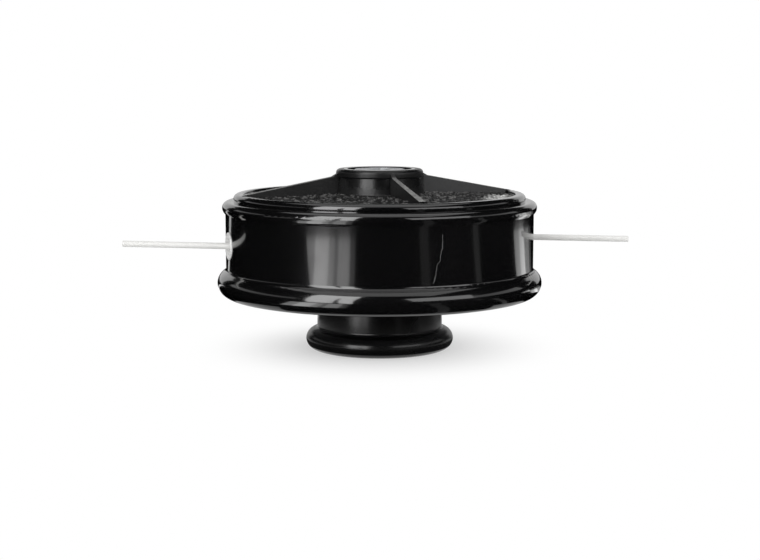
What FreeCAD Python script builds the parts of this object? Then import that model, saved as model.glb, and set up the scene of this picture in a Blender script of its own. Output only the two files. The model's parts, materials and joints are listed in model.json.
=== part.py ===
import FreeCAD
import Part
import Sketcher
import math
import os

# Bump feed trimmer head, in millimetres. The axis is Z, the knob's foot is at z = 0 and the hub is on top.
# The line leaves through the two eyelets on the X axis.

document = FreeCAD.newDocument("trimmer_head")
sheet = document.addObject("Spreadsheet::Sheet", "Sizes")

sizes = {
    "wall_radius": 60.1,
    "wall_thickness": 3.1,
    "lip_bottom": 21.4,
    "lip_bead": 5.1,
    "lip_reach": 3.4,
    "lip_fillet": 1.6,
    "drum_height": 39.7,
    "main_bead_drop": 5.3,
    "main_bead_height": 4.8,
    "main_bead_proud": 1.2,
    "top_bead_inset": 3.2,
    "top_bead_round": 2.0,
    "rim_width": 4.0,
    "rim_depth": 1.2,
    "rim_edge": 0.5,
    "plate_rise": 1.0,
    "plate_thickness": 2.9,
    "hub_radius": 17.0,
    "hub_height": 9.7,
    "hub_draft": 0.6,
    "hub_edge": 1.5,
    "hub_collar": 3.2,
    "hub_foot": 0.8,
    "hub_wall": 4.4,
    "hub_recess_depth": 3.5,
    "rib_drop": 2.4,
    "rib_stand": 0.1,
    "rib_lap": 1.7,
    "rib_hub_width": 1.6,
    "rib_rim_width": 2.4,
    "rib_round": 2.4,
    "rib_root": 1.5,
    "rib_count": 4.0,
    "boss_wall": 3.0,
    "boss_tail": 0.4,
    "lug_rise": 8.0,
    "lug_height": 4.0,
    "lug_width": 5.0,
    "lug_gap": 1.2,
    "lug_root": 1.5,
    "lug_count": 4.0,
    "eyelet_count": 2.0,
    "eyelet_rise": 20.6,
    "eyelet_bore_radius": 2.6,
    "eyelet_wall": 1.1,
    "eyelet_brim": 1.6,
    "eyelet_flange": 0.9,
    "eyelet_edge": 0.54,
    "eyelet_flare": 2.1,
    "eyelet_seat": 0.5,
    "eyelet_tail": 0.4,
    "stem_radius": 6.0,
    "stem_reach": 2.4,
    "neck_radius": 7.0,
    "arbor_hex": 18.4,
    "arbor_hex_height": 5.0,
    "arbor_top_gap": 0.3,
    "thread_radius": 4.33,
    "thread_depth": 20.0,
    "screw_radius": 2.5,
    "screw_hole_depth": 14.0,
    "screw_length": 12.0,
    "screw_head_radius": 5.2,
    "screw_head_height": 4.0,
    "screw_head_edge": 0.5,
    "screw_socket": 5.0,
    "screw_socket_depth": 2.4,
    "nut_hex": 19.0,
    "nut_height": 2.4,
    "nut_corner_drop": 0.9,
    "lock_washer_thickness": 0.9,
    "lock_washer_split": 1.2,
    "retaining_radius": 11.0,
    "retaining_thickness": 2.0,
    "retaining_edge": 0.3,
    "spring_wire": 0.8,
    "spring_room": 1.6,
    "spring_turns": 7.0,
    "spring_washer_thickness": 1.5,
    "bush_wall": 2.5,
    "bearing_wall": 3.9,
    "ledge_height": 4.0,
    "cavity_room": 4.5,
    "core_wall": 8.5,
    "spool_inset": 4.6,
    "spool_flange": 2.5,
    "spool_top_inset": 1.5,
    "lower_bay": 8.5,
    "divider_thickness": 1.5,
    "divider_reach": 19.0,
    "notch_width": 3.0,
    "notch_depth": 7.0,
    "notch_count": 2.0,
    "skirt_radius": 21.0,
    "skirt_wall": 2.5,
    "skirt_reach": 8.0,
    "rest_lug_angle": 20.0,
    "bump_lug_angle": 65.0,
    "winding_depth": 16.0,
    "turn_valley": 0.48,
    "turn_flat": 0.36,
    "knob_wall": 3.6,
    "knob_foot_step": 0.4,
    "knob_flange_height": 8.0,
    "knob_fillet": 1.2,
    "knob_travel": 7.0,
    "line_radius": 1.2,
    "line_sweep": 28.0,
    "line_free": 44.0,
    "line_inside": 12.5,
    "running_fit": 0.05,
    "press_gap": 0.02,
    "seat_gap": 0.15,
    "hole_gap": 0.3,
    "boss_gap": 0.38,
    "recess_gap": 1.0,
    "washer_gap": 0.5,
    "spring_gap": 0.03,
    "spool_gap": 1.5,
    "headroom": 0.5,
    "floor_gap": 1.5,
    "cut_room": 1.0,
}


class Size:
    # A number together with the sheet formula that gives it.
    def __init__(self, value, formula):
        self.value = value
        self.formula = formula

    def join(self, other, sign, value):
        return Size(value, "(" + self.formula + " " + sign + " " + other.formula + ")")

    def __add__(self, other):
        other = sized(other)
        return self.join(other, "+", self.value + other.value)

    def __sub__(self, other):
        other = sized(other)
        return self.join(other, "-", self.value - other.value)

    def __mul__(self, other):
        other = sized(other)
        return self.join(other, "*", self.value * other.value)

    def __truediv__(self, other):
        other = sized(other)
        return self.join(other, "/", self.value / other.value)

    def __neg__(self):
        return Size(-self.value, "(0 - " + self.formula + ")")


def sized(number):
    if isinstance(number, Size):
        return number
    return Size(float(number), repr(float(number)))


def root(number):
    return Size(math.sqrt(number.value), "sqrt(" + number.formula + ")")


size = {}
for row, (alias, number) in enumerate(sizes.items(), start=1):
    sheet.set("A" + str(row), alias.replace("_", " "))
    sheet.set("B" + str(row), repr(number))
    sheet.setAlias("B" + str(row), alias)
    size[alias] = Size(number, "Sizes." + alias)
document.recompute()

hexCorner = 2.0 / math.sqrt(3.0)


def deriveRadii(s):
    # Radii that follow from the wall, the arbor and the clearances between them.
    s["lip_radius"] = s["wall_radius"] + s["lip_reach"]
    s["main_bead_radius"] = s["wall_radius"] + s["main_bead_proud"]
    s["top_bead_radius"] = s["wall_radius"] - s["top_bead_inset"]
    s["rim_inner_radius"] = s["top_bead_radius"] - s["rim_width"]
    s["rib_end_radius"] = s["rim_inner_radius"] + s["rib_lap"]
    s["wall_inner_radius"] = s["wall_radius"] - s["wall_thickness"]
    s["hub_recess_radius"] = s["hub_radius"] - s["hub_wall"]
    s["lock_washer_radius"] = s["hub_recess_radius"] - s["recess_gap"]
    s["boss_bore_radius"] = s["arbor_hex"] * (hexCorner / 2.0) + s["boss_gap"]
    s["boss_radius"] = s["boss_bore_radius"] + s["boss_wall"]
    s["spring_radius"] = s["stem_radius"] + s["spring_wire"] + s["spring_room"]
    s["spring_washer_radius"] = s["boss_bore_radius"] - s["washer_gap"]
    s["bush_radius"] = s["stem_radius"] + s["bush_wall"]
    s["bearing_radius"] = s["bush_radius"] + s["bearing_wall"]
    s["spool_cavity_radius"] = s["boss_radius"] + s["cavity_room"]
    s["lug_reach"] = s["spool_cavity_radius"] - s["lug_gap"]
    s["spool_lug_reach"] = s["boss_radius"] + s["lug_gap"]
    s["spool_core_radius"] = s["spool_cavity_radius"] + s["core_wall"]
    s["winding_radius"] = s["spool_core_radius"] + s["winding_depth"]
    s["divider_radius"] = s["spool_core_radius"] + s["divider_reach"]
    s["spool_flange_radius"] = s["wall_inner_radius"] - s["spool_gap"]
    s["spool_top_radius"] = s["spool_flange_radius"] - s["spool_top_inset"]
    s["knob_neck_radius"] = s["skirt_radius"] + s["knob_wall"]
    s["knob_foot_radius"] = s["knob_neck_radius"] + s["knob_foot_step"]
    s["eyelet_tube_radius"] = s["eyelet_bore_radius"] + s["eyelet_wall"]
    s["eyelet_flange_radius"] = s["eyelet_tube_radius"] + s["eyelet_brim"]


def deriveHeights(s):
    # Heights that follow from the drum's lower edge, its height and the knob's travel.
    s["top_bead_crest"] = s["lip_bottom"] + s["drum_height"]
    s["main_bead_middle"] = s["top_bead_crest"] - s["main_bead_drop"]
    s["plate_rim_height"] = s["top_bead_crest"] - s["rim_depth"]
    s["plate_hub_height"] = s["plate_rim_height"] + s["plate_rise"]
    s["plate_bottom"] = s["plate_rim_height"] - s["plate_thickness"]
    s["hub_top"] = s["plate_hub_height"] + s["hub_height"]
    s["rib_hub_height"] = s["hub_top"] - s["rib_drop"]
    s["rib_rim_height"] = s["top_bead_crest"] + s["rib_stand"]
    s["eyelet_height"] = s["lip_bottom"] + s["eyelet_rise"]
    s["stem_end"] = s["lip_bottom"] - s["stem_reach"]
    s["spool_bottom"] = s["lip_bottom"] + s["spool_inset"]
    s["spool_ledge"] = s["spool_bottom"] + s["ledge_height"]
    s["lug_bottom"] = s["spool_ledge"] + s["lug_rise"]
    s["boss_end"] = s["lug_bottom"] - s["boss_tail"]
    s["spool_top"] = s["plate_bottom"] - s["knob_travel"] - s["headroom"]
    s["divider_bottom"] = s["spool_bottom"] + s["spool_flange"] + s["lower_bay"]
    s["skirt_end"] = s["stem_end"] - s["skirt_reach"]
    s["screw_head_top"] = s["stem_end"] - s["retaining_thickness"]
    s["screw_head_bottom"] = s["screw_head_top"] - s["screw_head_height"]
    s["knob_floor"] = s["screw_head_bottom"] - s["knob_travel"] - s["floor_gap"]


deriveRadii(size)
deriveHeights(size)


def bind(thing, path, wanted):
    # Sets a property or constraint of an object from a size.
    thing.setExpression(path, sized(wanted).formula)


def newBody(label):
    body = document.addObject("PartDesign::Body", label)
    body.Label = label
    return body


def originPlane(body, role):
    return [item for item in body.Origin.OriginFeatures if item.Role == role][0]


def newSketch(body, name, role, lift=None, turn=None):
    # A sketch on one of the body's origin planes, lifted along its normal and turned about it.
    sketch = body.newObject("Sketcher::SketchObject", body.Label + "_" + name)
    sketch.AttachmentSupport = [(originPlane(body, role), "")]
    sketch.MapMode = "FlatFace"
    if lift is not None:
        turned = FreeCAD.Rotation(FreeCAD.Vector(0, 0, 1), turn.value if turn else 0)
        sketch.AttachmentOffset = FreeCAD.Placement(FreeCAD.Vector(0, 0, lift.value), turned)
        bind(sketch, "AttachmentOffset.Base.z", lift)
        if turn is not None:
            bind(sketch, "AttachmentOffset.Rotation.Angle", turn)
    return sketch


def pin(sketch, curve, end, across, along):
    # Holds one end of a curve at its distances from the sketch's origin.
    for kind, number in (("DistanceX", across), ("DistanceY", along)):
        if number.value == 0.0:
            axis = -2 if kind == "DistanceX" else -1
            sketch.addConstraint(Sketcher.Constraint("PointOnObject", curve, end, axis))
        else:
            held = sketch.addConstraint(Sketcher.Constraint(kind, -1, 1, curve, end, number.value))
            bind(sketch, "Constraints[" + str(held) + "]", number)


def arcThrough(start, end, radius, side):
    # The arc of a radius between two points. Side is 1 where it turns left on its way and -1 where right.
    middle = (start + end) * 0.5
    chord = end - start
    half = chord.Length / 2.0
    rise = math.sqrt(max(radius * radius - half * half, 0.0))
    normal = FreeCAD.Vector(-chord.y, chord.x, 0).normalize() * side
    centre = middle + normal * rise
    first = math.atan2(start.y - centre.y, start.x - centre.x)
    last = math.atan2(end.y - centre.y, end.x - centre.x)
    if side < 0:
        first, last = last, first
    return Part.ArcOfCircle(Part.Circle(centre, FreeCAD.Vector(0, 0, 1), radius), first, last)


def drawOutline(sketch, corners):
    # A closed outline. A corner is (across, along), or (across, along, radius, side) where an arc follows.
    count = len(corners)
    ends = []
    for index, corner in enumerate(corners):
        following = corners[(index + 1) % count]
        start = FreeCAD.Vector(corner[0].value, corner[1].value, 0)
        end = FreeCAD.Vector(following[0].value, following[1].value, 0)
        if len(corner) == 2:
            curve = sketch.addGeometry(Part.LineSegment(start, end))
            ends.append((curve, 1, 2))
        else:
            curve = sketch.addGeometry(arcThrough(start, end, corner[2].value, corner[3]))
            ends.append((curve, 1, 2) if corner[3] > 0 else (curve, 2, 1))
    for index in range(count):
        here = ends[index]
        ahead = ends[(index + 1) % count]
        sketch.addConstraint(Sketcher.Constraint("Coincident", here[0], here[2], ahead[0], ahead[1]))
    for index, corner in enumerate(corners):
        pin(sketch, ends[index][0], ends[index][1], corner[0], corner[1])
        if len(corner) == 4:
            held = sketch.addConstraint(Sketcher.Constraint("Radius", ends[index][0], corner[2].value))
            bind(sketch, "Constraints[" + str(held) + "]", corner[2])


def drawCircle(sketch, radius, across=None, along=None):
    across = sized(across or 0.0)
    along = sized(along or 0.0)
    centre = FreeCAD.Vector(across.value, along.value, 0)
    curve = sketch.addGeometry(Part.Circle(centre, FreeCAD.Vector(0, 0, 1), radius.value))
    pin(sketch, curve, 3, across, along)
    held = sketch.addConstraint(Sketcher.Constraint("Radius", curve, radius.value))
    bind(sketch, "Constraints[" + str(held) + "]", radius)


def rectangle(left, bottom, right, top):
    return [(left, bottom), (right, bottom), (right, top), (left, top)]


def hexagon(acrossFlats):
    # Corners of a hexagon that has two flats square to Y.
    corner = acrossFlats * (hexCorner / 2.0)
    half = acrossFlats / 2.0
    zero = sized(0.0)
    return [
        (corner, zero),
        (corner / 2.0, half),
        (-(corner / 2.0), half),
        (-corner, zero),
        (-(corner / 2.0), -half),
        (corner / 2.0, -half),
    ]


def addFeature(body, kind, name, sketch):
    feature = body.newObject("PartDesign::" + kind, body.Label + "_" + name)
    feature.Profile = sketch
    sketch.Visibility = False
    return feature


def turnRound(body, name, corners, kind="Revolution"):
    # A full turn about Z of an outline drawn in radius and height.
    sketch = newSketch(body, name + "_outline", "XZ_Plane")
    drawOutline(sketch, corners)
    document.recompute()
    feature = addFeature(body, kind, name, sketch)
    feature.ReferenceAxis = (sketch, ["V_Axis"])
    feature.Angle = 360.0
    document.recompute()
    return feature


def extrude(body, name, sketch, length, kind="Pad", reverse=False):
    document.recompute()
    feature = addFeature(body, kind, name, sketch)
    feature.Length = length.value
    bind(feature, "Length", length)
    feature.Reversed = reverse
    document.recompute()
    return feature


def repeatRound(body, name, features, count):
    # Copies features evenly round Z.
    pattern = body.newObject("PartDesign::PolarPattern", body.Label + "_" + name)
    pattern.Originals = features
    pattern.Axis = (originPlane(body, "Z_Axis"), [""])
    pattern.Angle = 360.0
    pattern.Occurrences = int(round(count.value))
    bind(pattern, "Occurrences", count)
    body.Tip = pattern
    document.recompute()
    return pattern


def ring(label, inner, outer, bottom, top, chamfer=None):
    # A plain ring about Z, with its outer edges broken where a chamfer is given.
    body = newBody(label)
    corners = [(inner, bottom), (outer, bottom), (outer, top), (inner, top)]
    if chamfer is not None:
        corners = [
            (inner, bottom),
            (outer - chamfer, bottom),
            (outer, bottom + chamfer),
            (outer, top - chamfer),
            (outer - chamfer, top),
            (inner, top),
        ]
    turnRound(body, "ring", corners)
    return body


def buildHousing(s):
    body = newBody("housing")
    hubHole = s["neck_radius"] + s["running_fit"] * 2
    recessFloor = s["hub_top"] - s["hub_recess_depth"]
    hubFoot = s["hub_foot"]
    collarFoot = s["hub_top"] - s["hub_collar"]
    rimFoot = s["rim_edge"]
    beadHalf = s["main_bead_height"] / 2
    beadStep = s["main_bead_radius"] - s["wall_radius"]
    beadUnder = (beadStep * beadStep + beadHalf * beadHalf) / (beadStep * 2)
    beadTop = s["main_bead_middle"] + beadHalf
    innerRadius = s["wall_inner_radius"]
    # The fillet touches the wall and the lip's bead: its centre is the two radii from the bead's centre.
    beadCentre = s["lip_radius"] - s["lip_bead"]
    lipMiddle = s["lip_bottom"] + s["lip_bead"]
    reach = s["lip_bead"] + s["lip_fillet"]
    aside = s["wall_radius"] + s["lip_fillet"] - beadCentre
    rise = root(reach * reach - aside * aside)
    share = s["lip_bead"] / reach
    turnRound(body, "drum", [
        (hubHole, s["plate_bottom"]),
        (hubHole, recessFloor),
        (s["hub_recess_radius"], recessFloor),
        (s["hub_recess_radius"], s["hub_top"]),
        (s["hub_radius"] - s["hub_edge"], s["hub_top"], s["hub_edge"], -1),
        (s["hub_radius"], s["hub_top"] - s["hub_edge"]),
        (s["hub_radius"], collarFoot + s["hub_draft"], s["hub_draft"], -1),
        (s["hub_radius"] - s["hub_draft"], collarFoot),
        (s["hub_radius"], s["plate_hub_height"] + hubFoot, hubFoot, 1),
        (s["hub_radius"] + hubFoot, s["plate_hub_height"]),
        (s["rim_inner_radius"] - rimFoot, s["plate_rim_height"], rimFoot, 1),
        (s["rim_inner_radius"], s["plate_rim_height"] + rimFoot),
        (s["rim_inner_radius"], s["top_bead_crest"] - rimFoot, rimFoot, -1),
        (s["rim_inner_radius"] + rimFoot, s["top_bead_crest"]),
        (s["top_bead_radius"] - s["top_bead_round"], s["top_bead_crest"], s["top_bead_round"], -1),
        (s["top_bead_radius"], s["top_bead_crest"] - s["top_bead_round"]),
        (s["top_bead_radius"], beadTop),
        (s["main_bead_radius"] - beadHalf, beadTop, beadHalf, -1),
        (s["main_bead_radius"], s["main_bead_middle"], beadUnder, -1),
        (s["wall_radius"], s["main_bead_middle"] - beadHalf),
        (s["wall_radius"], lipMiddle + rise, s["lip_fillet"], 1),
        (beadCentre + aside * share, lipMiddle + rise * share, s["lip_bead"], -1),
        (s["lip_radius"], lipMiddle, s["lip_bead"], -1),
        (beadCentre, s["lip_bottom"]),
        (innerRadius, s["lip_bottom"]),
        (innerRadius, s["plate_bottom"]),
        (s["boss_radius"], s["plate_bottom"]),
        (s["boss_radius"], s["boss_end"]),
        (s["boss_bore_radius"], s["boss_end"]),
        (s["boss_bore_radius"], s["plate_bottom"]),
    ])
    # Four ribs that widen towards the rim, with their tops cut to one cone.
    ribFoot = s["plate_rim_height"] - s["plate_thickness"] / 2
    ribTop = s["hub_top"] - s["hub_edge"]
    ribStart = s["hub_radius"] - s["rib_root"]
    outline = newSketch(body, "rib_outline", "XY_Plane", ribFoot)
    drawOutline(outline, [
        (ribStart, -(s["rib_hub_width"] / 2)),
        (s["rib_end_radius"], -(s["rib_rim_width"] / 2)),
        (s["rib_end_radius"], s["rib_rim_width"] / 2),
        (ribStart, s["rib_hub_width"] / 2),
    ])
    rib = extrude(body, "rib", outline, ribTop - ribFoot)
    repeatRound(body, "ribs", [rib], s["rib_count"])
    slope = (s["rib_hub_height"] - s["rib_rim_height"]) / (s["rib_end_radius"] - s["hub_radius"])
    above = s["hub_top"] + s["cut_room"]
    beyond = s["rib_end_radius"] + s["cut_room"]
    turnRound(body, "rib_tops", [
        (s["hub_radius"], ribTop),
        (s["hub_radius"] + s["rib_round"], s["rib_hub_height"] - slope * s["rib_round"]),
        (beyond, s["rib_rim_height"] - slope * s["cut_room"]),
        (beyond, above),
        (s["hub_radius"], above),
    ], "Groove")
    # The hexagonal seat under the hub holds the arbor.
    outline = newSketch(body, "arbor_seat_outline", "XY_Plane", s["plate_bottom"])
    drawOutline(outline, hexagon(s["arbor_hex"] + s["running_fit"] * 2))
    extrude(body, "arbor_seat", outline, s["arbor_hex_height"], "Pocket", True)
    # Stop lugs on the boss.
    outline = newSketch(body, "lug_outline", "XY_Plane", s["lug_bottom"])
    lugRoot = (s["boss_radius"] + s["boss_bore_radius"]) / 2
    half = s["lug_width"] / 2
    drawOutline(outline, rectangle(lugRoot, -half, s["lug_reach"], half))
    lug = extrude(body, "lug", outline, s["lug_height"])
    repeatRound(body, "lugs", [lug], s["lug_count"])
    # Eyelet holes with flat seats on the outside of the wall.
    outside = s["lip_reach"] + s["cut_room"]
    outline = newSketch(body, "eyelet_hole_outline", "YZ_Plane", s["wall_radius"] + outside)
    drawCircle(outline, s["eyelet_tube_radius"] + s["press_gap"], None, s["eyelet_height"])
    hole = extrude(body, "eyelet_hole", outline, outside + s["wall_thickness"] + s["cut_room"], "Pocket")
    outline = newSketch(body, "eyelet_seat_outline", "YZ_Plane", s["wall_radius"] + outside)
    drawCircle(outline, s["eyelet_flange_radius"] + s["seat_gap"], None, s["eyelet_height"])
    seat = extrude(body, "eyelet_seat", outline, outside + s["eyelet_seat"], "Pocket")
    repeatRound(body, "eyelet_holes", [hole, seat], s["eyelet_count"])
    return body


def buildArbor(s):
    body = newBody("arbor")
    hexTop = s["plate_bottom"] + s["arbor_hex_height"]
    top = s["hub_top"] - s["arbor_top_gap"]
    outline = newSketch(body, "hex_outline", "XY_Plane", s["plate_bottom"])
    drawOutline(outline, hexagon(s["arbor_hex"]))
    extrude(body, "hex", outline, s["arbor_hex_height"])
    outline = newSketch(body, "neck_outline", "XY_Plane", hexTop)
    drawCircle(outline, s["neck_radius"])
    extrude(body, "neck", outline, top - hexTop)
    outline = newSketch(body, "stem_outline", "XY_Plane", s["plate_bottom"])
    drawCircle(outline, s["stem_radius"])
    extrude(body, "stem", outline, s["plate_bottom"] - s["stem_end"], "Pad", True)
    outline = newSketch(body, "thread_outline", "XY_Plane", top)
    drawCircle(outline, s["thread_radius"])
    extrude(body, "thread", outline, s["thread_depth"], "Pocket")
    outline = newSketch(body, "screw_hole_outline", "XY_Plane", s["stem_end"])
    drawCircle(outline, s["screw_radius"] + s["running_fit"])
    extrude(body, "screw_hole", outline, s["screw_hole_depth"], "Pocket", True)
    return body


def buildHubNut(s):
    body = newBody("hub_nut")
    bottom = s["hub_top"] - s["hub_recess_depth"] + s["lock_washer_thickness"]
    top = bottom + s["nut_height"]
    corner = s["nut_hex"] * (hexCorner / 2.0)
    flat = s["nut_hex"] / 2
    cornerDrop = s["nut_corner_drop"] * (corner + s["cut_room"] - flat) / (corner - flat)
    outline = newSketch(body, "hex_outline", "XY_Plane", bottom)
    drawOutline(outline, hexagon(s["nut_hex"]))
    extrude(body, "hex", outline, s["nut_height"])
    outline = newSketch(body, "hole_outline", "XY_Plane", top)
    drawCircle(outline, s["neck_radius"] + s["running_fit"])
    extrude(body, "hole", outline, s["nut_height"], "Pocket")
    turnRound(body, "corners", [
        (flat, top),
        (corner + s["cut_room"], top - cornerDrop),
        (corner + s["cut_room"], top),
    ], "Groove")
    return body


def buildLockWasher(s):
    bottom = s["hub_top"] - s["hub_recess_depth"]
    inner = s["neck_radius"] + s["running_fit"] * 2
    body = ring("lock_washer", inner, s["lock_washer_radius"], bottom, bottom + s["lock_washer_thickness"])
    outline = newSketch(body, "split_outline", "XY_Plane", bottom)
    half = s["lock_washer_split"] / 2
    beyond = s["lock_washer_radius"] + s["cut_room"]
    drawOutline(outline, rectangle(-half, s["neck_radius"] / 2, half, beyond))
    extrude(body, "split", outline, s["lock_washer_thickness"], "Pocket", True)
    return body


def placeBody(body, across, height, axis, angle):
    # Moves a body to a point of the X axis line at a height and turns it.
    body.Placement = FreeCAD.Placement(
        FreeCAD.Vector(across.value, 0, height.value), FreeCAD.Rotation(axis, angle.value)
    )
    bind(body, "Placement.Base.x", across)
    bind(body, "Placement.Base.z", height)
    bind(body, "Placement.Rotation.Angle", angle)


def buildEyelet(s, label, side):
    # A flanged sleeve about its own Z, which points out of the wall.
    body = newBody(label)
    zero = sized(0.0)
    depth = s["wall_thickness"] - s["eyelet_seat"] + s["eyelet_tail"]
    edge = s["eyelet_edge"]
    flare = s["eyelet_flare"]
    turnRound(body, "sleeve", [
        (s["eyelet_bore_radius"], -depth),
        (s["eyelet_tube_radius"], -depth),
        (s["eyelet_tube_radius"], zero),
        (s["eyelet_flange_radius"], zero),
        (s["eyelet_flange_radius"], s["eyelet_flange"] - edge, edge, 1),
        (s["eyelet_flange_radius"] - edge, s["eyelet_flange"]),
        (s["eyelet_bore_radius"] + flare, s["eyelet_flange"], flare, 1),
        (s["eyelet_bore_radius"], s["eyelet_flange"] - flare),
    ])
    across = (s["wall_radius"] - s["eyelet_seat"]) * side
    placeBody(body, across, s["eyelet_height"], FreeCAD.Vector(0, 1, 0), sized(90.0 * side))
    return body


def buildSpring(s):
    body = newBody("spring")
    gap = s["spring_gap"]
    bottom = s["spool_ledge"] + s["spring_washer_thickness"] + s["spring_wire"] + gap
    outline = newSketch(body, "wire_outline", "XZ_Plane")
    drawCircle(outline, s["spring_wire"], s["spring_radius"], bottom)
    document.recompute()
    coil = addFeature(body, "AdditiveHelix", "coil", outline)
    coil.ReferenceAxis = (outline, ["V_Axis"])
    coil.Mode = "height-turns-angle"
    height = s["plate_bottom"] - s["spring_wire"] - gap - bottom
    coil.Height = height.value
    coil.Turns = s["spring_turns"].value
    bind(coil, "Height", height)
    bind(coil, "Turns", s["spring_turns"])
    document.recompute()
    return body


def buildSpool(s):
    body = newBody("spool")
    bottom = s["spool_bottom"]
    lowerTop = bottom + s["spool_flange"]
    upperBottom = s["spool_top"] - s["spool_flange"]
    dividerTop = s["divider_bottom"] + s["divider_thickness"]
    skirtInner = s["skirt_radius"] - s["skirt_wall"]
    turnRound(body, "reel", [
        (s["bush_radius"], s["stem_end"]),
        (s["bearing_radius"], s["stem_end"]),
        (s["bearing_radius"], bottom),
        (skirtInner, bottom),
        (skirtInner, s["skirt_end"]),
        (s["skirt_radius"], s["skirt_end"]),
        (s["skirt_radius"], bottom),
        (s["spool_flange_radius"], bottom),
        (s["spool_flange_radius"], lowerTop),
        (s["spool_core_radius"], lowerTop),
        (s["spool_core_radius"], s["divider_bottom"]),
        (s["divider_radius"], s["divider_bottom"]),
        (s["divider_radius"], dividerTop),
        (s["spool_core_radius"], dividerTop),
        (s["spool_core_radius"], upperBottom),
        (s["spool_top_radius"], upperBottom),
        (s["spool_top_radius"], s["spool_top"]),
        (s["spool_cavity_radius"], s["spool_top"]),
        (s["spool_cavity_radius"], s["spool_ledge"]),
        (s["bush_radius"], s["spool_ledge"]),
    ])
    # Notches in the divider hold the line while it is wound on.
    outline = newSketch(body, "notch_outline", "XY_Plane", dividerTop)
    notchHalf = s["notch_width"] / 2
    notchRoot = s["divider_radius"] - s["notch_depth"]
    drawOutline(outline, rectangle(notchRoot, -notchHalf, s["divider_radius"] + s["cut_room"], notchHalf))
    notch = extrude(body, "notch", outline, s["divider_thickness"], "Pocket")
    repeatRound(body, "notches", [notch], s["notch_count"])
    # Two rows of stop lugs: one meets the housing's lugs at rest, the other while the knob is pressed.
    lugs = []
    rows = [
        ("rest_lug", s["lug_bottom"], s["rest_lug_angle"]),
        ("bump_lug", s["lug_bottom"] - s["knob_travel"], s["bump_lug_angle"]),
    ]
    half = s["lug_width"] / 2
    for name, height, angle in rows:
        outline = newSketch(body, name + "_outline", "XY_Plane", height, angle)
        lugRoot = s["spool_cavity_radius"] + s["lug_root"]
        drawOutline(outline, rectangle(s["spool_lug_reach"], -half, lugRoot, half))
        lugs.append(extrude(body, name, outline, s["lug_height"]))
    repeatRound(body, "lugs", lugs, s["lug_count"])
    return body


def buildWinding(s, label, low, high):
    # Wound line as one solid with as many rounded turns on its outside as lie between two flanges.
    body = newBody(label)
    pitch = s["line_radius"] * 2
    turns = max(1, int((high.value - low.value) / pitch.value))
    start = (low + high) / 2 - pitch * (turns / 2)
    inner = s["spool_core_radius"] + s["press_gap"]
    outer = s["winding_radius"] - s["turn_valley"]
    turn = s["line_radius"] + s["turn_flat"]
    corners = [(inner, start)]
    for index in range(turns):
        corners.append((outer, start + pitch * index, turn, 1))
    corners.append((outer, start + pitch * turns))
    corners.append((inner, start + pitch * turns))
    turnRound(body, "turns", corners)
    return body


def buildLineEnd(s, label, side):
    # A straight end of line along its own X, with its origin in the middle of the wall.
    body = newBody(label)
    outline = newSketch(body, "outline", "YZ_Plane", -s["line_inside"])
    drawCircle(outline, s["line_radius"])
    extrude(body, "line", outline, s["line_inside"] + s["line_free"])
    across = (s["wall_radius"] - s["wall_thickness"] / 2) * side
    angle = sized(90.0 - 90.0 * side) - s["line_sweep"]
    placeBody(body, across, s["eyelet_height"], FreeCAD.Vector(0, 0, 1), angle)
    return body


def buildKnob(s):
    body = newBody("bump_knob")
    zero = sized(0.0)
    half = s["knob_flange_height"] / 2
    inner = s["skirt_radius"] + s["running_fit"]
    # The fillet touches the neck and the round flange: its centre is the two radii from the flange's centre.
    reach = half + s["knob_fillet"]
    aside = s["knob_fillet"] - s["knob_foot_step"]
    rise = root(reach * reach - aside * aside)
    share = half / reach
    turnRound(body, "cup", [
        (zero, zero),
        (s["knob_foot_radius"], zero, half, 1),
        (s["knob_foot_radius"] + half, half, half, 1),
        (s["knob_foot_radius"] + aside * share, half + rise * share, s["knob_fillet"], -1),
        (s["knob_neck_radius"], half + rise),
        (s["knob_neck_radius"], s["spool_bottom"]),
        (inner, s["spool_bottom"]),
        (inner, s["knob_floor"]),
        (zero, s["knob_floor"]),
    ])
    return body


def buildScrew(s):
    body = newBody("retaining_screw")
    zero = sized(0.0)
    headTop = s["screw_head_top"]
    headBottom = s["screw_head_bottom"]
    turnRound(body, "blank", [
        (zero, headBottom),
        (s["screw_head_radius"] - s["screw_head_edge"], headBottom),
        (s["screw_head_radius"], headBottom + s["screw_head_edge"]),
        (s["screw_head_radius"], headTop),
        (s["screw_radius"], headTop),
        (s["screw_radius"], headTop + s["screw_length"]),
        (zero, headTop + s["screw_length"]),
    ])
    outline = newSketch(body, "socket_outline", "XY_Plane", headBottom)
    drawOutline(outline, hexagon(s["screw_socket"]))
    extrude(body, "socket", outline, s["screw_socket_depth"], "Pocket", True)
    return body


lowerBay = (size["spool_bottom"] + size["spool_flange"], size["divider_bottom"])
upperBay = (size["divider_bottom"] + size["divider_thickness"], size["spool_top"] - size["spool_flange"])
washerTop = size["spool_ledge"] + size["spring_washer_thickness"]
bodies = [
    buildHousing(size),
    buildArbor(size),
    buildHubNut(size),
    buildLockWasher(size),
    buildEyelet(size, "eyelet_left", -1),
    buildEyelet(size, "eyelet_right", 1),
    buildSpring(size),
    ring(
        "spring_washer",
        size["stem_radius"] + size["hole_gap"],
        size["spring_washer_radius"],
        size["spool_ledge"],
        washerTop,
    ),
    buildSpool(size),
    ring(
        "spool_bush",
        size["stem_radius"] + size["running_fit"],
        size["bush_radius"] - size["press_gap"],
        size["stem_end"],
        size["spool_ledge"],
    ),
    buildWinding(size, "line_winding_upper", *upperBay),
    buildWinding(size, "line_winding_lower", *lowerBay),
    buildLineEnd(size, "line_end_left", -1),
    buildLineEnd(size, "line_end_right", 1),
    buildKnob(size),
    ring(
        "retaining_washer",
        size["screw_radius"] + size["hole_gap"],
        size["retaining_radius"],
        size["screw_head_top"],
        size["stem_end"],
        size["retaining_edge"],
    ),
    buildScrew(size),
]
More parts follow.
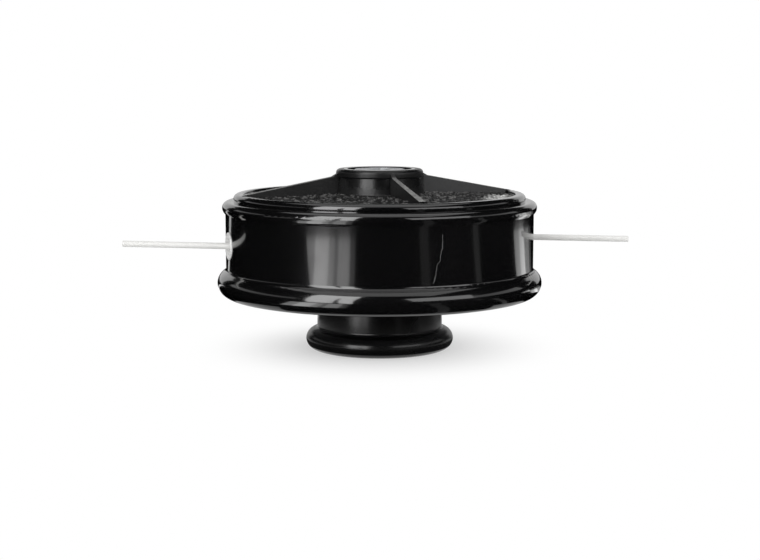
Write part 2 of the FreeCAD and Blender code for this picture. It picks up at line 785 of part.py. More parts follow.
document.recompute()

for thing in document.Objects:
    if "Invalid" in thing.State or "Error" in thing.State:
        raise RuntimeError("not valid: " + thing.Name + " " + str(thing.State))
os.makedirs("parts", exist_ok=True)
for body in bodies:
    if body.Shape.isNull() or not body.Shape.isValid() or len(body.Shape.Solids) != 1:
        raise RuntimeError("bad solid: " + body.Label)
    body.Shape.exportStep("parts/" + body.Label + ".step")
    print(body.Label, round(body.Shape.Volume, 1))
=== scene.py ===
import bpy
import json
import math
import numpy as np
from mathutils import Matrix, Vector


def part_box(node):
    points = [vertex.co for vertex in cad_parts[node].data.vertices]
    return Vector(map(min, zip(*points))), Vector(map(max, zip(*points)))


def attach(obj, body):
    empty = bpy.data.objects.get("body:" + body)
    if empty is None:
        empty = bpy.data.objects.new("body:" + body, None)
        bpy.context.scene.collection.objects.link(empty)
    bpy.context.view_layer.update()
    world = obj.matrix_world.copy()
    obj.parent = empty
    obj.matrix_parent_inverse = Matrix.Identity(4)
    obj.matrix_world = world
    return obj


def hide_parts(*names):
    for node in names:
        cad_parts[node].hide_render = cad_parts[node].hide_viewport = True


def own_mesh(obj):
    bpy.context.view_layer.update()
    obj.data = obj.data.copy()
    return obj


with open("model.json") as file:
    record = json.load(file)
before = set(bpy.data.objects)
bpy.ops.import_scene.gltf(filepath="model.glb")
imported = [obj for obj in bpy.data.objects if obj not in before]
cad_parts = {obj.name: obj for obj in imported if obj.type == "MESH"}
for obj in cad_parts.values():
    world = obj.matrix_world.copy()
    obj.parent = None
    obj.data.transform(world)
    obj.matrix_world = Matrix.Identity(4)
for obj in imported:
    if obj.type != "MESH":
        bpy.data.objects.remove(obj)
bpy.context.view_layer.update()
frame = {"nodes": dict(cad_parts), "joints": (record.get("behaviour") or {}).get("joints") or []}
nodes = frame["nodes"]
print("frame loaded with", len(nodes), "nodes")

# Drum's own sizes in metres. Its heights are counted from the housing's box in the frame.
drum = {
    "height": 0.0397,
    "rimDepth": 0.0012,
    "plateRise": 0.0010,
    "recessRadius": 0.0527,
    "hubRadius": 0.0170,
    "ribDrop": 0.0024,
    "ribStand": 0.0001,
    "ribEnd": 0.0546,
}
drumLow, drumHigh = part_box("housing")
rimTop = drumLow.z + drum["height"]
plateRim = rimTop - drum["rimDepth"]
plateHub = plateRim + drum["plateRise"]
ribHub = drumHigh.z - drum["ribDrop"]
ribSlope = (ribHub - rimTop - drum["ribStand"]) / (drum["ribEnd"] - drum["hubRadius"])

# Camera: its place round the axis, height and pitch, and the small turn that sets the axis off the middle.
view = {
    "azimuth": -17.0,
    "distance": 0.561,
    "height": 0.1028,
    "pitch": 7.73,
    "turn": -0.016,
    "lens": 68.02,
    "sensor": 36.0,
    "clipStart": 0.01,
}


def addObject(name, data):
    # A new object at the origin, linked to the scene.
    thing = bpy.data.objects.new(name, data)
    bpy.context.collection.objects.link(thing)
    return thing


def addMesh(name, points, faces):
    # A mesh object from an array of points and a list of faces.
    mesh = bpy.data.meshes.new(name)
    mesh.from_pydata(points.tolist(), [], faces)
    return addObject(name, mesh)


def placeCamera():
    # Stands at distance times (sin, -cos) of the azimuth and looks back along it, pitched down.
    azimuth = math.radians(view["azimuth"])
    data = bpy.data.cameras.new("camera")
    data.sensor_width = view["sensor"]
    data.lens = view["lens"]
    data.clip_start = view["clipStart"]
    camera = addObject("camera", data)
    reach = view["distance"]
    camera.location = (reach * math.sin(azimuth), -reach * math.cos(azimuth), view["height"])
    tilt = math.radians(90.0 - view["pitch"])
    camera.rotation_euler = (tilt, 0.0, math.radians(view["azimuth"] + view["turn"]))
    bpy.context.scene.camera = camera


placeCamera()
print("camera placed")


def clearTree(owner, outputKind):
    # The emptied node tree of a material or world, with a new output node.
    owner.use_nodes = True
    tree = owner.node_tree
    tree.nodes.clear()
    return tree, tree.nodes.new(outputKind)


def startMaterial(name):
    # A material with one shader wired to its output.
    material = bpy.data.materials.new(name)
    tree, output = clearTree(material, "ShaderNodeOutputMaterial")
    shader = tree.nodes.new("ShaderNodeBsdfPrincipled")
    tree.links.new(shader.outputs["BSDF"], output.inputs["Surface"])
    return material, tree, shader


def setInput(tree, socket, value):
    # A socket value is wired and a number or colour is set.
    if isinstance(value, bpy.types.NodeSocket):
        tree.links.new(value, socket)
    else:
        socket.default_value = value


def mathNode(tree, operation, first, second=0.0):
    # The named operation on two values.
    node = tree.nodes.new("ShaderNodeMath")
    node.operation = operation
    setInput(tree, node.inputs[0], first)
    setInput(tree, node.inputs[1], second)
    return node.outputs[0]


def product(tree, first, *others):
    # All the values multiplied together.
    for other in others:
        first = mathNode(tree, "MULTIPLY", first, other)
    return first


def rangeNode(tree, value, low, high, start=0.0, end=1.0):
    # Runs smoothly from start at low to end at high.
    node = tree.nodes.new("ShaderNodeMapRange")
    node.interpolation_type = "SMOOTHSTEP"
    for socket, number in zip(node.inputs[:5], (value, low, high, start, end)):
        setInput(tree, socket, number)
    return node.outputs[0]


# Nearly all of a noise lies in this span.
noiseSpan = (0.3, 0.7)


def spread(tree, noise, start, end):
    # Runs from start to end over a noise's span.
    return rangeNode(tree, noise, *noiseSpan, start, end)


def noiseNode(tree, vector, scale, detail, roughness=0.5):
    # Noise at a place, in so many waves per metre.
    node = tree.nodes.new("ShaderNodeTexNoise")
    setInput(tree, node.inputs["Vector"], vector)
    node.inputs["Scale"].default_value = scale
    node.inputs["Detail"].default_value = detail
    node.inputs["Roughness"].default_value = roughness
    return node.outputs[0]


def mixColour(tree, factor, first, second):
    # The first colour at 0 and the second at 1.
    node = tree.nodes.new("ShaderNodeMix")
    node.data_type = "RGBA"
    setInput(tree, node.inputs[0], factor)
    setInput(tree, node.inputs[6], first)
    setInput(tree, node.inputs[7], second)
    return node.outputs[2]


def bumpNode(tree, height, strength, distance, normal=None):
    # Tilts the normal by the slope of a height.
    node = tree.nodes.new("ShaderNodeBump")
    setInput(tree, node.inputs["Strength"], strength)
    setInput(tree, node.inputs["Distance"], distance)
    setInput(tree, node.inputs["Height"], height)
    if normal is not None:
        setInput(tree, node.inputs["Normal"], normal)
    return node.outputs[0]


def objectPlace(tree):
    # Object coordinates as one socket.
    return tree.nodes.new("ShaderNodeTexCoord").outputs["Object"]


def axesOf(tree, place):
    # The three coordinates of a place, each a socket of its own.
    parts = tree.nodes.new("ShaderNodeSeparateXYZ")
    tree.links.new(place, parts.inputs[0])
    return tuple(parts.outputs)


def radiusOf(tree, east, north):
    # Distance from the axis: the root of east squared plus north squared.
    squares = mathNode(tree, "ADD", product(tree, east, east), product(tree, north, north))
    return mathNode(tree, "SQRT", squares)


# Black nylon of the drum and knob. Noises are scale, detail and roughness, and bumps are strength and depth.
# Pairs are the ends of a range, and fours are a range and the values at its ends.
drumFinish = {
    "gloss": (0.0022, 0.0022, 0.0024, 1.0),
    "glossCloud": (0.0036, 0.0036, 0.0038, 1.0),
    "glossRough": (0.09, 0.15),
    "flow": (38.0, 2.0),
    "flowBump": (0.22, 0.002),
    "fine": (900.0, 4.0),
    "fineBump": (0.02, 0.0001),
    "coat": 0.9,
    "coatRough": 0.06,
    "knobCoat": 0.1,
    "knobDull": 0.14,
    "matte": (0.0020, 0.0020, 0.0022, 1.0),
    "matteCloud": (0.0060, 0.0060, 0.0063, 1.0),
    "matteOut": (drum["recessRadius"], drum["recessRadius"] - 0.0006),
    "matteIn": (drum["hubRadius"] - 0.0032, drum["hubRadius"] - 0.0030),
    "matteLow": (plateRim - 0.0011, plateRim - 0.0007),
    "matteDull": (drum["hubRadius"] - 0.0004, drum["hubRadius"], 0.12, 0.26),
    "cloud": (420.0, 5.0, 0.65),
    "cloudBump": (0.5, 0.0002),
    # Painted light: a paler grey that lightens the sides of the right rib.
    "paintedRibLight": (0.042, 0.042, 0.043, 1.0),
    "paintedRibLightFrom": (drum["hubRadius"] + 0.0003, drum["hubRadius"] + 0.0015),
    "paintedRibLightWide": (0.0030, 0.0024),
    "paintedRibLightCloud": (0.2, 0.7, 0.7, 1.3),
    "rib": (0.125, 0.125, 0.125, 1.0),
    "ribLight": (0.27, 0.27, 0.26, 1.0),
    "ribDepth": (0.0003, 0.00005),
    "ribFrom": (drum["hubRadius"] + 0.0010, drum["hubRadius"] + 0.0030),
    "scuff": (500.0, 4.0),
    "scuffOut": (0.02, 0.05, 0.9, 1.15),
    "scuffSpan": (0.3, 0.9),
    # A paler thin line that leans and wiggles across the front of the wall.
    "paleLine": (0.085, 0.085, 0.085, 1.0),
    "paleLineAcross": (0.99803, 0.06277),
    "paleLineLean": 0.193,
    "paleLineMiddle": 0.0418,
    "paleLineEnds": (0.0090, 0.0080),
    "paleLineWidth": (0.0002, 0.00008),
    "paleLineNoise": (260.0, 3.0),
    "paleLineWiggle": 0.0036,
    "paleLineFront": (-0.0560, -0.0565),
}


def glossBase(tree, shader, place):
    # Nearly black gloss whose surface waves a little, as moulded nylon does.
    flow = noiseNode(tree, place, *drumFinish["flow"])
    fine = noiseNode(tree, place, *drumFinish["fine"])
    wave = bumpNode(tree, flow, *drumFinish["flowBump"])
    wave = bumpNode(tree, fine, *drumFinish["fineBump"], wave)
    rough = spread(tree, flow, *drumFinish["glossRough"])
    tint = mixColour(tree, flow, drumFinish["gloss"], drumFinish["glossCloud"])
    shader.inputs["Coat Roughness"].default_value = drumFinish["coatRough"]
    return tint, rough, wave


def knobMaterial(name):
    # The same nylon, duller from use.
    material, tree, shader = startMaterial(name)
    tint, rough, wave = glossBase(tree, shader, objectPlace(tree))
    setInput(tree, shader.inputs["Base Color"], tint)
    setInput(tree, shader.inputs["Roughness"], mathNode(tree, "ADD", rough, drumFinish["knobDull"]))
    setInput(tree, shader.inputs["Normal"], wave)
    shader.inputs["Coat Weight"].default_value = drumFinish["knobCoat"]
    return material


def matteMask(tree, radius, height):
    # One on the hub and in the recess: outside the hub's bore, inside the rim and above the plate.
    inside = rangeNode(tree, radius, *drumFinish["matteOut"])
    outside = rangeNode(tree, radius, *drumFinish["matteIn"])
    above = rangeNode(tree, height, *drumFinish["matteLow"])
    return product(tree, inside, outside, above)


def paintedRibLightMask(tree, east, north, cloud):
    # One on the sides of the right rib, where painted light makes them paler: beyond the hub and close to
    # the X axis, uneven by the cloud.
    beyond = rangeNode(tree, east, *drumFinish["paintedRibLightFrom"])
    beside = rangeNode(tree, mathNode(tree, "ABSOLUTE", north), *drumFinish["paintedRibLightWide"])
    return product(tree, beyond, beside, rangeNode(tree, cloud, *drumFinish["paintedRibLightCloud"]))


def ribMask(tree, radius, height):
    # One on the rib tops: close under the cone that falls from the hub by the slope times the radius.
    drop = product(tree, mathNode(tree, "SUBTRACT", radius, drum["hubRadius"]), ribSlope)
    below = mathNode(tree, "SUBTRACT", mathNode(tree, "SUBTRACT", ribHub, drop), height)
    close = rangeNode(tree, below, *drumFinish["ribDepth"])
    inside = rangeNode(tree, radius, *drumFinish["matteOut"])
    return product(tree, close, inside, rangeNode(tree, radius, *drumFinish["ribFrom"]))


def paleLineMask(tree, place, east, north, height):
    # Nearness to a leaning line on the front of the wall, which a noise makes wiggle.
    acrossEast, acrossNorth = drumFinish["paleLineAcross"]
    across = mathNode(tree, "ADD", product(tree, east, acrossEast), product(tree, north, acrossNorth))
    along = mathNode(tree, "SUBTRACT", height, drumFinish["paleLineMiddle"])
    swing = mathNode(tree, "SUBTRACT", noiseNode(tree, place, *drumFinish["paleLineNoise"]), 0.5)
    wiggle = product(tree, swing, drumFinish["paleLineWiggle"])
    lean = mathNode(tree, "ADD", product(tree, along, drumFinish["paleLineLean"]), wiggle)
    away = mathNode(tree, "ABSOLUTE", mathNode(tree, "SUBTRACT", across, lean))
    line = rangeNode(tree, away, *drumFinish["paleLineWidth"])
    ends = rangeNode(tree, mathNode(tree, "ABSOLUTE", along), *drumFinish["paleLineEnds"])
    return product(tree, line, ends, rangeNode(tree, north, *drumFinish["paleLineFront"]))


def drumMaterial(name):
    # Gloss, into which masks mix the matte hub and recess, painted light on the right rib's sides, the
    # scuffed rib tops and a pale wiggly line on the wall.
    material, tree, shader = startMaterial(name)
    place = objectPlace(tree)
    east, north, height = axesOf(tree, place)
    radius = radiusOf(tree, east, north)
    tint, gloss, wave = glossBase(tree, shader, place)
    matte = matteMask(tree, radius, height)
    cloud = noiseNode(tree, place, *drumFinish["cloud"])
    clouded = mixColour(tree, cloud, drumFinish["matte"], drumFinish["matteCloud"])
    tint = mixColour(tree, matte, tint, clouded)
    # Painted light on the sides of the right rib, mixed into the tint.
    paintedRibLight = product(tree, matte, paintedRibLightMask(tree, east, north, cloud))
    tint = mixColour(tree, paintedRibLight, tint, drumFinish["paintedRibLight"])
    outward = rangeNode(tree, radius, *drumFinish["scuffOut"])
    paleMark = product(tree, noiseNode(tree, place, *drumFinish["scuff"]), outward)
    paleMark = rangeNode(tree, paleMark, *drumFinish["scuffSpan"])
    scuffed = mixColour(tree, paleMark, drumFinish["rib"], drumFinish["ribLight"])
    tint = mixColour(tree, ribMask(tree, radius, height), tint, scuffed)
    # A paler thin line on the front of the wall, mixed into the tint.
    paleLine = paleLineMask(tree, place, east, north, height)
    tint = mixColour(tree, paleLine, tint, drumFinish["paleLine"])
    setInput(tree, shader.inputs["Base Color"], tint)
    dull = product(tree, matte, rangeNode(tree, radius, *drumFinish["matteDull"]))
    setInput(tree, shader.inputs["Roughness"], mathNode(tree, "ADD", gloss, dull))
    coated = mathNode(tree, "SUBTRACT", 1.0, matte)
    setInput(tree, shader.inputs["Coat Weight"], product(tree, coated, drumFinish["coat"]))
    strength, depth = drumFinish["cloudBump"]
    bump = bumpNode(tree, cloud, product(tree, matte, strength), depth, wave)
    setInput(tree, shader.inputs["Normal"], bump)
    return material


# Metals: material's name, colour, roughness and share of bare metal.
metals = {
    "eyelet": ("bright_eyelet", (0.96, 0.96, 0.95), 0.30, 0.2),
    "zinc": ("zinc_steel", (0.62, 0.63, 0.65), 0.32, 0.7),
    "spring": ("spring_steel", (0.36, 0.36, 0.38), 0.30, 1.0),
    "bronze": ("bronze_bush", (0.62, 0.42, 0.20), 0.35, 1.0),
}
metalFinish = {
    "fine": (1400.0, 4.0),
    "fineBump": (0.06, 0.0001),
    "broad": (160.0, 3.0),
    "darkest": 0.72,
    "smoothest": 0.75,
    "roughest": 1.3,
}


def metalMaterial(name, colour, rough, bare):
    # Metal, bare or satin, whose roughness follows a fine noise and whose tint follows a broad one.
    material, tree, shader = startMaterial(name)
    place = objectPlace(tree)
    fine = noiseNode(tree, place, *metalFinish["fine"])
    broad = noiseNode(tree, place, *metalFinish["broad"])
    dark = tuple(metalFinish["darkest"] * part for part in colour) + (1.0,)
    setInput(tree, shader.inputs["Base Color"], mixColour(tree, broad, dark, colour + (1.0,)))
    uneven = spread(tree, fine, rough * metalFinish["smoothest"], rough * metalFinish["roughest"])
    setInput(tree, shader.inputs["Roughness"], uneven)
    setInput(tree, shader.inputs["Normal"], bumpNode(tree, fine, *metalFinish["fineBump"]))
    shader.inputs["Metallic"].default_value = bare
    return material


# Grey nylon of the spool and clear nylon of the line.
spoolFinish = {
    "dark": (0.075, 0.077, 0.080, 1.0),
    "light": (0.11, 0.112, 0.115, 1.0),
    "cloud": (120.0, 4.0),
    "fine": (2600.0, 2.0),
    "fineBump": (0.15, 0.0001),
    "rough": (0.42, 0.58),
}
lineFinish = {
    "dark": (0.65, 0.647, 0.63, 1.0),
    "light": (0.73, 0.727, 0.71, 1.0),
    "cloud": (240.0, 2.0),
    "rough": (0.42, 0.52),
    "refraction": 1.53,
}


def spoolMaterial(name):
    # Matte moulded nylon with a faint cloudy tint.
    material, tree, shader = startMaterial(name)
    place = objectPlace(tree)
    cloud = noiseNode(tree, place, *spoolFinish["cloud"])
    fine = noiseNode(tree, place, *spoolFinish["fine"])
    tint = mixColour(tree, cloud, spoolFinish["dark"], spoolFinish["light"])
    setInput(tree, shader.inputs["Base Color"], tint)
    setInput(tree, shader.inputs["Roughness"], spread(tree, fine, *spoolFinish["rough"]))
    setInput(tree, shader.inputs["Normal"], bumpNode(tree, fine, *spoolFinish["fineBump"]))
    return material


def lineMaterial(name):
    # Milky nylon line with a faint cloud in it.
    material, tree, shader = startMaterial(name)
    cloud = noiseNode(tree, objectPlace(tree), *lineFinish["cloud"])
    tint = mixColour(tree, cloud, lineFinish["dark"], lineFinish["light"])
    setInput(tree, shader.inputs["Base Color"], tint)
    setInput(tree, shader.inputs["Roughness"], spread(tree, cloud, *lineFinish["rough"]))
    shader.inputs["IOR"].default_value = lineFinish["refraction"]
    return material


finishes = {
    "drum": drumMaterial("black_drum"),
    "knob": knobMaterial("black_knob"),
    "spool": spoolMaterial("grey_spool"),
    "line": lineMaterial("clear_line"),
}
for finish, settings in metals.items():
    finishes[finish] = metalMaterial(*settings)
nodeFinish = {
    "housing": "drum",
    "bump_knob": "knob",
    "spool": "spool",
    "line_winding_upper": "line",
    "line_winding_lower": "line",
    "line_end_left": "line",
    "line_end_right": "line",
    "eyelet_left": "eyelet",
    "eyelet_right": "eyelet",
    "arbor": "zinc",
    "hub_nut": "zinc",
    "spring_washer": "zinc",
    "retaining_washer": "zinc",
    "retaining_screw": "zinc",
    "spring": "spring",
    "lock_washer": "spring",
    "spool_bush": "bronze",
}
for name, finish in nodeFinish.items():
    for slot in nodes[name].material_slots:
        slot.material = finishes[finish]
print("materials set")

# Ends of the cutting line, in metres. The route is the inner end, the middle of the wall and the tip.
lineEnd = {
    "route": [(0.047513, 0.005868, 0.042), (0.05855, 0.0, 0.042), (0.0974, -0.020657, 0.042)],
    "diameter": 0.0024,
    "length": 0.0565,
    "exit": (0.0605, -0.0010, 0.042),
    "curveOrder": 3,
    "curveSteps": 8,
    "roundSteps": 6,
}


def halfTurn(point, side):
    # The same point at side 1, or its place after half a turn about the axis at side -1.
    return (point[0] * side, point[1] * side, point[2])


def lineCord(name, node, side):
    # A round bar along a smooth curve by the route's points.
    curve = bpy.data.curves.new(name, "CURVE")
    curve.dimensions = "3D"
    spline = curve.splines.new("NURBS")
    spline.points.add(len(lineEnd["route"]) - 1)
    for point, place in zip(spline.points, lineEnd["route"]):
        point.co = halfTurn(place, side) + (1.0,)
    spline.order_u = lineEnd["curveOrder"]
    spline.use_endpoint_u = True
    spline.resolution_u = lineEnd["curveSteps"]
    curve.bevel_depth = lineEnd["diameter"] / 2.0
    curve.bevel_resolution = lineEnd["roundSteps"]
    curve.use_fill_caps = True
    curve.materials.append(finishes["line"])
    cord = addObject(name, curve)
    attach(cord, "housing")
    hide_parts(node)


lineCord("cutting_line_right", "line_end_right", 1.0)
lineCord("cutting_line_left", "line_end_left", -1.0)
print("cutting lines made")

# Grained skin of the recess floor: a low relief that lies on the dished plate between the hub and the rim.
# Pairs and fours are ranges as for the drum.
plate = {
    "inner": drum["hubRadius"] + 0.0008,
    "outer": drum["recessRadius"] - 0.0003,
    "hubHeight": plateHub,
    "rimHeight": plateRim,
    "relief": 0.0006,
    "bedded": 0.00002,
    "sunk": 0.0004,
    "rings": 100,
    "spokes": 720,
    "grainCells": 2,
    "grainRise": (0.55, 0.85),
    "seed": 11,
    "cloud": (110.0, 3.0),
    "rough": (0.38, 0.5),
    "dark": (0.0022, 0.0022, 0.0024, 1.0),
    # Painted glints: the paler grey of the grain's higher crests.
    "paintedGlint": (0.115, 0.113, 0.111, 1.0),
    "paintedGlintLift": (0.0002, 0.00045),
    "paintedGlintCloud": (0.35, 0.6, 0.3, 1.0),
    # A paler patch on the grain's crests by the rim, towards one side.
    "paleMark": (0.62, 0.62, 0.61, 1.0),
    "paleMarkTo": (0.848, -0.530),
    "paleMarkSide": (0.95, 0.992),
    "paleMarkFrom": (0.0405, 0.0465),
    "paleMarkOut": (0.0520, 0.0490),
    "paleMarkCrest": (0.0, 1.0, 0.5, 1.0),
}


def paleMarkMask(tree, east, north, radius, crest):
    # Nearness to one direction from the axis, between two radii, and stronger on the grain's crests.
    toEast, toNorth = plate["paleMarkTo"]
    towards = mathNode(tree, "ADD", product(tree, east, toEast), product(tree, north, toNorth))
    side = rangeNode(tree, mathNode(tree, "DIVIDE", towards, radius), *plate["paleMarkSide"])
    onCrest = rangeNode(tree, crest, *plate["paleMarkCrest"])
    beyond = rangeNode(tree, radius, *plate["paleMarkFrom"])
    return product(tree, side, onCrest, beyond, rangeNode(tree, radius, *plate["paleMarkOut"]))


def grainMaterial(name):
    # Black nylon with painted glints, paler the higher its grain stands above the plate's cone, and a pale
    # patch by the rim.
    material, tree, shader = startMaterial(name)
    place = objectPlace(tree)
    east, north, height = axesOf(tree, place)
    radius = radiusOf(tree, east, north)
    fall = (plate["hubHeight"] - plate["rimHeight"]) / (plate["outer"] - plate["inner"])
    drop = product(tree, mathNode(tree, "SUBTRACT", radius, plate["inner"]), fall)
    lift = mathNode(tree, "SUBTRACT", mathNode(tree, "ADD", height, drop), plate["hubHeight"])
    cloud = noiseNode(tree, place, *plate["cloud"])
    crest = rangeNode(tree, lift, *plate["paintedGlintLift"])
    # Painted glints, paler on the grain's higher crests.
    paintedGlint = product(tree, crest, rangeNode(tree, cloud, *plate["paintedGlintCloud"]))
    tint = mixColour(tree, paintedGlint, plate["dark"], plate["paintedGlint"])
    # A paler patch on the grain's crests by the rim, mixed into the tint.
    tint = mixColour(tree, paleMarkMask(tree, east, north, radius, crest), tint, plate["paleMark"])
    setInput(tree, shader.inputs["Base Color"], tint)
    setInput(tree, shader.inputs["Roughness"], spread(tree, cloud, *plate["rough"]))
    return material


def closedGrid(name, points, faces, material):
    # A mesh piece at the origin, shaded smooth.
    piece = addMesh(name, points, faces)
    mesh = piece.data
    mesh.polygons.foreach_set("use_smooth", np.ones(len(mesh.polygons), dtype=bool))
    mesh.materials.append(material)
    mesh.update()
    return piece


def blurred(field, axis):
    # Half of each value and a quarter of both its neighbours.
    return (2.0 * field + np.roll(field, 1, axis) + np.roll(field, -1, axis)) / 4.0


def grainField(rings, spokes):
    # Random heights on a coarse lattice, spread over the fine one, blurred, and cut off below the middle.
    random = np.random.default_rng(plate["seed"])
    cells = plate["grainCells"]
    coarse = random.random((rings // cells, spokes // cells))
    field = np.repeat(np.repeat(coarse, cells, 0), cells, 1)
    low, high = plate["grainRise"]
    return np.clip((blurred(blurred(field, 1), 0) - low) / (high - low), 0.0, 1.0)


def grainedPlate():
    # Rings of spokes whose top stands on the plate's cone by the grain and whose underside is sunk in it.
    rings, spokes = plate["rings"], plate["spokes"]
    radius, turn = np.meshgrid(np.linspace(plate["inner"], plate["outer"], rings),
                               np.linspace(0.0, 2.0 * np.pi, spokes, endpoint=False), indexing="ij")
    share = (radius - plate["inner"]) / (plate["outer"] - plate["inner"])
    base = plate["hubHeight"] + (plate["rimHeight"] - plate["hubHeight"]) * share
    top = base - plate["bedded"] + plate["relief"] * grainField(rings, spokes)
    flat = np.stack((radius * np.cos(turn), radius * np.sin(turn)), axis=-1)
    upper = np.concatenate((flat, top[..., None]), axis=-1).reshape(-1, 3)
    edge = np.array([0, rings - 1])
    under = (base[edge] - plate["sunk"])[..., None]
    lower = np.concatenate((flat[edge], under), axis=-1).reshape(-1, 3)
    ring, spoke = np.meshgrid(np.arange(rings - 1), np.arange(spokes), indexing="ij")
    ahead = (spoke + 1) % spokes
    here = ring * spokes
    beyond = here + spokes
    topFaces = np.stack((here + spoke, beyond + spoke, beyond + ahead, here + ahead), axis=-1).reshape(-1, 4)
    one = np.arange(spokes)
    two = (one + 1) % spokes
    first = len(upper)
    second = first + spokes
    last = (rings - 1) * spokes
    bottom = np.stack((first + one, first + two, second + two, second + one), axis=1)
    innerWall = np.stack((one, two, first + two, first + one), axis=1)
    outerWall = np.stack((last + two, last + one, second + one, second + two), axis=1)
    faces = np.concatenate((topFaces, bottom, innerWall, outerWall)).tolist()
    points = np.concatenate((upper, lower))
    piece = closedGrid("recess_grain", points, faces, grainMaterial("grained_black"))
    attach(piece, "housing")


grainedPlate()
print("recess grained")

# Knob's spring: a coil between its washer and the plate above, which shortens as the knob is pushed in.
# Its ends and radius lie half a wire inside the solid's box, and the joint says how far it shortens.
wireRadius = 0.0008
springLow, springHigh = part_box("spring")
knobBump = next(joint for joint in frame["joints"] if joint["name"] == "knob_bump")
fixedEnd = knobBump["deforming_nodes"][0]["fixed_end_z_m"]
coil = {
    "radius": springHigh.x - wireRadius,
    "wire": wireRadius - 0.00001,
    "low": springLow.z + wireRadius,
    "high": springHigh.z - wireRadius,
    "turns": 7.0,
    "steps": 336,
    "sides": 16,
    "fixedEnd": fixedEnd,
    "pressed": 1.0 - knobBump["range_m"][1] / (fixedEnd - springLow.z),
}


def coilSpring():
    # A ring of points round the wire at each step of a helix, square to it, with a flat cap on each end.
    steps, sides, radius = coil["steps"], coil["sides"], coil["radius"]
    turn = np.linspace(0.0, 2.0 * np.pi * coil["turns"], steps + 1)
    climb = (coil["high"] - coil["low"]) / turn[-1]
    east, north, still = np.cos(turn), np.sin(turn), np.zeros_like(turn)
    centre = np.stack((radius * east, radius * north, coil["low"] + climb * turn), axis=1)
    outward = np.stack((east, north, still), axis=1)
    ahead = np.stack((-radius * north, radius * east, still + climb), axis=1)
    upward = np.cross(outward, ahead) / math.hypot(radius, climb)
    side = np.linspace(0.0, 2.0 * np.pi, sides, endpoint=False)[None, :, None]
    around = np.cos(side) * outward[:, None] + np.sin(side) * upward[:, None]
    points = (centre[:, None] + coil["wire"] * around).reshape(-1, 3)
    step, edge = np.meshgrid(np.arange(steps), np.arange(sides), indexing="ij")
    beside = (edge + 1) % sides
    first = step * sides
    second = first + sides
    quads = np.stack((first + beside, first + edge, second + edge, second + beside), axis=-1)
    faces = quads.reshape(-1, 4).tolist()
    last = steps * sides
    faces.append(list(range(sides)))
    faces.append(list(range(last + sides - 1, last - 1, -1)))
    piece = closedGrid("knob_spring", points, faces, finishes["spring"])
    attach(piece, "housing")
    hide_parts("spring")
    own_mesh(piece)


coilSpring()
print("spring coiled")

# Floor, backdrop and lights. Angles are degrees round the axis, counted from the camera's side.
studio = {
    "floorRadius": 6.0,
    "floorDrop": 0.0001,
    "pinhole": 0.0005,
    "floor": (0.96, 0.96, 0.96, 1.0),
    "white": (1.0, 1.0, 1.0, 1.0),
    "whiteOut": (-0.03, 0.08),
    "cardLift": 0.0008,
    "roofRadius": 2.45,
    "roofHeight": 2.4,
    "middle": 0.04,
    "skyLight": 0.85,
    "skyHigh": (0.7, 0.7, 0.7, 1.0),
    "skyFade": (0.3, 0.9),
}


def seenDirectly(tree):
    # One for the camera's rays, reflections and rays through clear pieces, and nought for light.
    path = tree.nodes.new("ShaderNodeLightPath")
    seen = mathNode(tree, "MAXIMUM", path.outputs["Is Camera Ray"], path.outputs["Is Glossy Ray"])
    return mathNode(tree, "MAXIMUM", seen, path.outputs["Is Transmission Ray"])


def arcPoints(turn, radius, height):
    # Points at a radius and height, at each angle from the camera's side.
    angle = np.radians(turn + view["azimuth"])
    return np.stack((radius * np.sin(angle), -radius * np.cos(angle), np.full_like(angle, height)), axis=1)


def sectorMesh(name, inner, outer, start, end, height, lean=0.0, steps=96):
    # A flat ring sector: two arcs of points joined by quads, the inner arc turned on by the lean.
    turn = np.linspace(start, end, steps + 1)
    points = np.concatenate((arcPoints(turn + lean, inner, height), arcPoints(turn, outer, height)))
    step = np.arange(steps)
    faces = np.stack((step, step + steps + 1, step + steps + 2, step + 1), axis=1)
    sector = addMesh(name, points, faces.tolist())
    return sector


def screenMesh(name, radius, start, end, low, high, steps=64):
    # A standing screen: two arcs of points, one above the other, joined by quads.
    turn = np.linspace(start, end, steps + 1)
    points = np.concatenate((arcPoints(turn, radius, low), arcPoints(turn, radius, high)))
    step = np.arange(steps)
    faces = np.stack((step, step + 1, step + steps + 2, step + steps + 1), axis=1)
    screen = addMesh(name, points, faces.tolist())
    return screen


def floorMaterial():
    # Pale and lit near the object, and plain white further out.
    material = bpy.data.materials.new("floor")
    tree, output = clearTree(material, "ShaderNodeOutputMaterial")
    east, north = axesOf(tree, objectPlace(tree))[:2]
    lit = tree.nodes.new("ShaderNodeBsdfDiffuse")
    lit.inputs["Color"].default_value = studio["floor"]
    white = tree.nodes.new("ShaderNodeEmission")
    white.inputs["Color"].default_value = studio["white"]
    far = rangeNode(tree, radiusOf(tree, east, north), *studio["whiteOut"])
    mix = tree.nodes.new("ShaderNodeMixShader")
    setInput(tree, mix.inputs[0], product(tree, seenDirectly(tree), far))
    tree.links.new(lit.outputs[0], mix.inputs[1])
    tree.links.new(white.outputs[0], mix.inputs[2])
    tree.links.new(mix.outputs[0], output.inputs["Surface"])
    return material


floor = sectorMesh("floor", studio["pinhole"], studio["floorRadius"], 0.0, 360.0, -studio["floorDrop"])
floor.data.materials.append(floorMaterial())


def cardMaterial(name, level):
    # A card of even brightness, black at level 0.
    material = bpy.data.materials.new(name)
    tree, output = clearTree(material, "ShaderNodeOutputMaterial")
    glow = tree.nodes.new("ShaderNodeEmission")
    glow.inputs["Color"].default_value = studio["white"]
    glow.inputs["Strength"].default_value = level
    tree.links.new(glow.outputs[0], output.inputs["Surface"])
    return material


def reflectionOnly(card, level):
    # Only reflections see a card, so it changes the gloss and casts neither light nor shadow.
    card.data.materials.append(cardMaterial(card.name, level))
    card.visible_camera = False
    card.visible_diffuse = False
    card.visible_transmission = False
    card.visible_shadow = False


